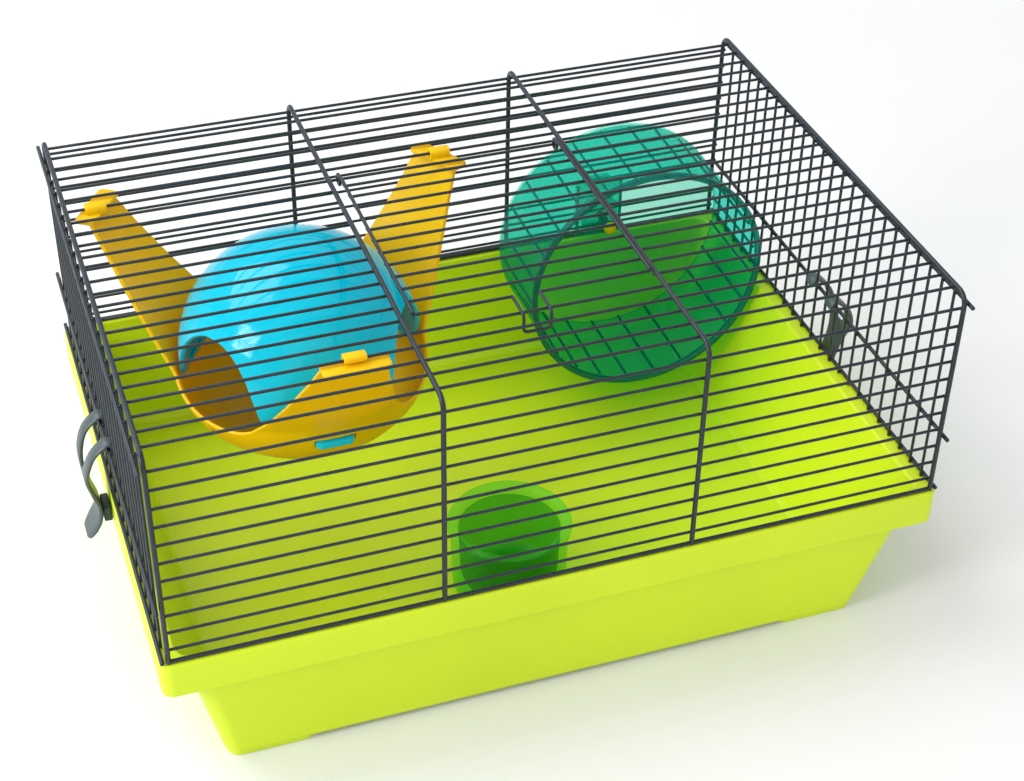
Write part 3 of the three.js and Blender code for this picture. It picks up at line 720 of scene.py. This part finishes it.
def make_wheel_mount():
    """The axle pin, and the bracket that snaps over two bars of the back wall."""
    start = WHEEL_BACK - 2.0
    axle = [(0, start), (AXLE_R - 0.6, start), (AXLE_R, start + 0.6), (AXLE_R, 120.4),
            (AXLE_R - 0.3, 120.7), (AXLE_R - 0.3, 121.4), (AXLE_R, HUB_BACK),
            (AXLE_R, AXLE_BACK - 0.6), (AXLE_R - 0.6, AXLE_BACK), (0, AXLE_BACK)]
    shape = Shape().add(*lathe(axle, 28, "y", WHEEL_X, WHEEL_Z))
    piece("axle_pin", shape, "wire_top", [GREY], ["wheel_axle"])

    shape = Shape()
    verts, faces = pillow(0, 0, 15, 19.3, 3, PLATE_FRONT, PLATE_BACK, 0.7)
    shape.add([(WHEEL_X + x, z, PLATE_Z + y) for x, y, z in verts], faces)
    for side in (-1, 1):
        x = WHEEL_X + side * 13.9
        shape.add(*sweep([(x, 134.9, 84.5), (x, 134.9, 118.0)], slab(0.9, 0.8, 0.4)), 1)
    boss = [(2.5, 122.6), (7.4, 122.4), (8, 122.9), (8.6, 126), (10.4, 133), (12.5, 134.9),
            (2.5, 134.9)]
    shape.add(*lathe(boss, 48, "y", WHEEL_X, WHEEL_Z, True))
    for arm_z, lip_z in SNAPS:
        strap = [(WHEEL_X, SNAP_FRONT, arm_z), (WHEEL_X, SNAP_BACK, arm_z),
                 (WHEEL_X, SNAP_BACK, lip_z)]
        shape.add(*sweep(soften(strap, 1.2, 4), slab(8, 0.75, 0.5), ends=((0.3, 0.8),)))
    piece("wheel_hanger", shape, "wire_top", [TEAL, TEAL_DEEP],
          ["wheel_bracket"])


# ---- hanging nest ------------------------------------------------------------------
DISH_Z, DISH_R, DISH_DEEP, WALL = 124.0, 67.5, 47.0, 2.2    # the bowl's rim, and its wall
DOME_Z, DOME_R = 128.0, 64.2
TAB_TOP, SLOT_Z = 197.5, 114.5
TAB_HALF = (5.5, 16.5)
# Each hook: how far right of the nest's middle, the roof bar it holds, and which way is out.
HOOKS = ((0, 3, -1), (93, 18, 1), (-91, 18, 1))
SLOT_HALF, SLOT_DEGREES = 2.6, 9.4             # the slots that take the dome's tongues
LEAN, LEAN_FRONT = 28.5, 4.6                   # degrees that the arms lean out, and more in front
# The bowl's top edge: degrees from an arm's middle, and height.
EDGE = [(0, 196.4), (4.5, 196.4), (7.4, 196.2), (8.6, 192), (10.5, 181), (15, 163),
        (20, 148), (27, 132), (36, 120.5), (47, 116), (60, 115)]


def gaps_beside(i):
    """Degrees from arm i to the arm before it and to the arm after it."""
    turns = [a for a, _ in ARMS]
    return ((turns[i] - turns[i - 1]) % 360, (turns[(i + 1) % 3] - turns[i]) % 360)


def dish_r(z, inset, angle):
    """The radius of the nest's wall at a height, inset from its outer face."""
    a, c = DISH_R - inset, DISH_DEEP - inset
    if z >= DISH_Z:
        lean = LEAN + LEAN_FRONT * max(0.0, -math.sin(math.radians(angle)))
        return a + (z - DISH_Z) * math.tan(math.radians(lean))
    return a * math.sqrt(max(0.0, 1 - ((DISH_Z - z) / c) ** 2))


def dish_columns():
    """Every column of the nest's wall: its direction, and the height of its top edge."""
    half = smooth_line(EDGE, 3)
    columns = []
    for i, (at, _) in enumerate(ARMS):
        before, after = gaps_beside(i)
        columns += [(at - a * before / 120, h) for a, h in reversed(half[1:-1])]
        columns += [(at + a * after / 120, h) for a, h in half]
    return columns


def make_nest():
    """The bowl and its three arms as one shell, slots for the dome, tabs and roof hooks."""
    columns = dish_columns()
    slot_low, slot_high = SLOT_Z - SLOT_HALF, SLOT_Z + SLOT_HALF
    shared = [DISH_Z - DISH_DEEP * math.cos(math.radians(t)) for t in range(7, 71, 7)]
    shared += [slot_low, slot_high, slot_high + 1.2]
    rise = 16
    bottom, layers = DISH_Z - DISH_DEEP, []
    for inset in (0.0, WALL):
        grid = []
        for angle, height in columns:
            c, s = math.cos(math.radians(angle)), math.sin(math.radians(angle))
            fit = min(1.0, (height - 2.0 - bottom) / (slot_high + 1.2 - bottom))
            heights = [bottom + (z - bottom) * fit for z in shared]
            heights = [DISH_Z - (DISH_Z - z) * (DISH_DEEP - inset) / DISH_DEEP
                       if z < slot_low * fit else z for z in heights]
            top = heights[-1]
            heights += [top + (height - top - 0.35) * (k + 1) / rise for k in range(rise)]
            radii = [dish_r(z, inset, angle) for z in heights]
            grid.append([(NEST_X + r * c, NEST_Y + r * s, z) for r, z in zip(radii, heights)])
        layers.append(grid)
    rows, n = len(layers[0][0]), len(columns)
    rings = [[column[i] for column in layers[0]] for i in range(rows)]
    lip = []
    for (angle, height), low, high in zip(columns, layers[0], layers[1]):
        mid = (Vector(low[-1]) + Vector(high[-1])) / 2
        lip.append(tuple(mid + Vector((0, 0, 0.75))))
    rings.append(lip)
    rings += [[column[i] for column in layers[1]] for i in reversed(range(rows))]
    verts = [v for ring in rings for v in ring]
    slot_row = len(shared) - 3
    inner_row = 2 * rows - slot_row

    def in_slot(i):
        a = (columns[i][0] + columns[(i + 1) % n][0]) / 2
        return any(abs((a - p + 180) % 360 - 180) < SLOT_DEGREES for p, _ in ARMS)

    faces, holes = [], []
    for r in range(len(rings) - 1):
        for i in range(n):
            if r in (slot_row, inner_row - 1) and in_slot(i):
                holes.append((r, i))
                continue
            j = (i + 1) % n
            faces.append([r * n + i, r * n + j, (r + 1) * n + j, (r + 1) * n + i])
    for r, i in holes:
        if r != slot_row:
            continue
        j = (i + 1) % n
        for outer, inner in ((slot_row, inner_row), (slot_row + 1, inner_row - 1)):
            faces.append([outer * n + i, outer * n + j, inner * n + j, inner * n + i])
        for edge, beside in ((i, i - 1), (j, j)):
            if not in_slot(beside % n):
                faces.append([slot_row * n + edge, (slot_row + 1) * n + edge,
                              (inner_row - 1) * n + edge, inner_row * n + edge])
    poles = [(NEST_X, NEST_Y, DISH_Z - DISH_DEEP), (NEST_X, NEST_Y, DISH_Z - DISH_DEEP + WALL)]
    last = (len(rings) - 1) * n
    for i in range(n):
        j = (i + 1) % n
        faces.append([len(verts), j, i])
        faces.append([len(verts) + 1, last + i, last + j])
    shape = Shape().add(verts + poles, faces)

    for p, reach in ARMS:
        v, f = pillow(NEST_X + reach, NEST_Y, *TAB_HALF, 2.6, TAB_TOP - WALL, TAB_TOP, 0.7)
        shape.add(turn_on_nest(v, p), f)
    bar_top = HOOP_TOP - 1
    for aside, bar, out in HOOKS:
        x, bar_y = NEST_X + aside, roof_y(bar)
        path = [(x, bar_y - out * 2.8, TAB_TOP - 1), (x, bar_y - out * 2.8, bar_top + 1.2),
                (x, bar_y + out * 2.15, bar_top + 1.2), (x, bar_y + out * 2.15, bar_top - 0.6)]
        shape.add(*sweep(soften(path, 1.6, 5), slab(0.8, 5.5, 0.45), up=(1, 0, 0),
                         ends=((0.25, 0.9),)))
    piece("hammock_shell", shape, "wire_top", [YELLOW], ["hammock_nest"], 42)


# A doorway's edge, from its crown down: distance sideways from its middle, and height.
ARCH = [(0, 160), (8, 158.8), (15, 155.3), (20.5, 150.5), (25, 144.5), (29.5, 134.5),
        (33.5, 122.5), (38, 116), (42.9, 112.6)]
TONGUE_HALF, TONGUE_HALF_Z = (4.8, 10), 1.8
DOME_LOW, DOME_TOP = -13.9, 87.0               # degrees above and below the dome's middle


def make_dome():
    """A thin dome with three arched doorways, on tongues that pass through the bowl."""
    half = []
    for u, z in ARCH:
        phi = math.asin((z - DOME_Z) / DOME_R)
        half.append((math.degrees(math.asin(u / (DOME_R * math.cos(phi)))),
                     math.degrees(phi)))
    half[-1] = (half[-1][0], DOME_LOW)
    half = smooth_line(half, 4)
    foot = half[-1][0]
    columns = []
    for i, (at, _) in enumerate(ARMS):
        centre = at + 60
        for sign, gap in zip((-1, 1), gaps_beside(i)):
            line = half + [(foot + (gap / 2 - foot) * k / 4, DOME_LOW) for k in range(1, 5)]
            if sign < 0:
                columns += [(centre - a, h) for a, h in reversed(line[1:-1])]
            else:
                columns += [(centre + a, h) for a, h in line]
    rise = 20

    def ring(radius, k, lift):
        out = []
        for angle, low in columns:
            start = low + lift
            phi = math.radians(start + (DOME_TOP - start) * (k / rise))
            a = math.radians(angle)
            out.append((NEST_X + radius * math.cos(phi) * math.cos(a),
                        NEST_Y + radius * math.cos(phi) * math.sin(a),
                        DOME_Z + radius * math.sin(phi)))
        return out

    rings = [ring(DOME_R, k, 0.5) for k in reversed(range(rise + 1))]
    rings.append(ring(DOME_R - WALL / 2, 0, 0.0))
    rings += [ring(DOME_R - WALL, k, 0.5) for k in range(rise + 1)]
    verts, faces = bridge(rings, cap=False)
    n = len(columns)
    last = (len(rings) - 1) * n
    for i in range(n):
        j = (i + 1) % n
        faces.append([len(verts), i, j])
        faces.append([len(verts) + 1, last + j, last + i])
    verts += [(NEST_X, NEST_Y, DOME_Z + DOME_R), (NEST_X, NEST_Y, DOME_Z + DOME_R - WALL)]
    shape = Shape().add(verts, faces)
    for p, _ in ARMS:
        v, f = pillow(NEST_X + DOME_R - 0.2, NEST_Y, *TONGUE_HALF, 3.4,
                      SLOT_Z - TONGUE_HALF_Z, SLOT_Z + TONGUE_HALF_Z, 0.8)
        shape.add(turn_on_nest(v, p), f)
    piece("dome_shell", shape, "wire_top", [BLUE], ["nest_dome"], 42)


# ---- food cup ----------------------------------------------------------------------
WELL_R = 27.6                                  # the cup's inside wall lies within this radius


def make_cup():
    """A thick-walled cup with a flared lip; its well is a deeper green, painted shade for the
    shadow and stacked walls inside it.
    """
    z, h = cup_low.z, cup_high.z
    profile = [(0, z + 0.8), (22, z + 0.8), (24, z), (28, z), (30.6, z + 1.6), (31.2, z + 12),
               (31.6, h - 9), (31.7, h - 6.4), (33.5, h - 4.4), (33.5, h - 1.6), (32, h),
               (28.8, h), (27.5, h - 1.6), (27.4, h - 7), (26.4, z + 9), (23, z + 3.8),
               (0, z + 3.2)]
    cuts = [0, 1, 1, 1.6, 3, 6, 3, 2, 1.6, 1.6, 1.2, 1.2, 1.6, 4, 6, 5, 0]
    verts, faces = lathe(soften(profile, cuts, 4), 72, "z", CUP_X, CUP_Y)
    shape = Shape().add(verts, faces)
    # Faces inside the well get the darker green: painted shade.
    for number, face in enumerate(faces):
        x, y, level = (sum(verts[i][k] for i in face) / len(face) for k in range(3))
        if math.hypot(x - CUP_X, y - CUP_Y) < WELL_R and z + 2.6 < level < h - 6:
            shape.looks[number] = 1
    piece("cup_shell", shape, "food_cup", [GREEN, GREEN_WELL_SHADE],
          ["food_cup"], 50)


make_tray()
make_hoops()
make_roof_bars()
make_wall("front_bars", "front_wire_wall", -1)
make_wall("back_bars", "back_wire_wall", 1)
make_end("left_end_wires", "left_end_panel", -1)
make_end("right_end_wires", "right_end_panel", 1)
make_door()
make_latch()
make_clip("left_clip_strap", "left_side_clip", "left_clip", -1)
make_clip("right_clip_strap", "right_side_clip", "right_clip", 1)
make_clip_pad("left_clip_block", "left_clip_pad", "left_clip", -1)
make_clip_pad("right_clip_block", "right_clip_pad", "right_clip", 1)
make_wheel()
make_wheel_mount()
make_nest()
make_dome()
make_cup()


# ---- floor, light and camera -------------------------------------------------------
def make_floor():
    """A plain pale floor, which is not part of the object."""
    g = Graph("studio_floor")
    base = g.mix(g.span(g.noise(3.0, 3.0), 0.3, 0.7, 0.0, 1.0), (0.77, 0.77, 0.765),
                 (0.80, 0.80, 0.80))
    look = g.finish(g.add("ShaderNodeBsdfPrincipled",
                          {"Roughness": 0.6, "Specular IOR Level": 0.2}, Base_Color=base))
    mesh = bpy.data.meshes.new("studio_floor")
    half = 12
    mesh.from_pydata([(-half, -half, 0), (half, -half, 0), (half, half, 0), (-half, half, 0)],
                     [], [[0, 1, 2, 3]])
    mesh.materials.append(look)
    obj = bpy.data.objects.new("studio_floor", mesh)
    bpy.context.scene.collection.objects.link(obj)


def make_light(name, at, target, size, power):
    data = bpy.data.lights.new(name, "AREA")
    data.shape, data.size, data.size_y = "RECTANGLE", size[0], size[1]
    data.energy = power
    obj = bpy.data.objects.new(name, data)
    obj.location = at
    obj.rotation_mode = "QUATERNION"
    obj.rotation_quaternion = (Vector(target) - Vector(at)).to_track_quat("-Z", "Y")
    bpy.context.scene.collection.objects.link(obj)


def make_world():
    world = bpy.data.worlds.new("studio")
    world.use_nodes = True
    background = world.node_tree.nodes["Background"]
    background.inputs["Color"].default_value = (0.97, 0.985, 1.0, 1)
    background.inputs["Strength"].default_value = 0.8
    bpy.context.scene.world = world


CAMERA_AT, CAMERA_LENS, CAMERA_SENSOR = (-0.269, -0.795, 0.729), 68.03, 36.0
CAMERA_AZIMUTH, CAMERA_ELEVATION, CAMERA_ROLL = -19.92, 37.38, 1.11


def make_camera():
    """Looks down on the front left corner, with a slight roll."""
    az, el, roll = (math.radians(a) for a in (CAMERA_AZIMUTH, CAMERA_ELEVATION, CAMERA_ROLL))
    back = Vector((math.sin(az) * math.cos(el), -math.cos(az) * math.cos(el), math.sin(el)))
    right = Vector((math.cos(az), math.sin(az), 0))
    up = back.cross(right)
    c, s = math.cos(roll), math.sin(roll)
    x, y = right * c + up * s, up * c - right * s
    data = bpy.data.cameras.new("camera")
    data.sensor_width, data.lens = CAMERA_SENSOR, CAMERA_LENS
    data.clip_start, data.clip_end = 0.05, 40.0
    obj = bpy.data.objects.new("camera", data)
    turned = Matrix((x, y, back)).transposed().to_4x4()
    obj.matrix_world = Matrix.Translation(CAMERA_AT) @ turned
    bpy.context.scene.collection.objects.link(obj)
    bpy.context.scene.camera = obj


make_floor()
make_light("key_back_left", (-1.3, 1.1, 2.3), (0, 0, 0.1), (2.0, 2.0), 47)
make_light("fill_front", (-0.3, -2.6, 1.6), (0, 0, 0.1), (2.4, 1.6), 9)
make_light("softbox_left", (-1.41, -0.37, 0.86), (-0.13, -0.02, 0.166), (0.6, 0.6), 14)
make_world()
make_camera()
bpy.context.scene.view_settings.view_transform = "Standard"
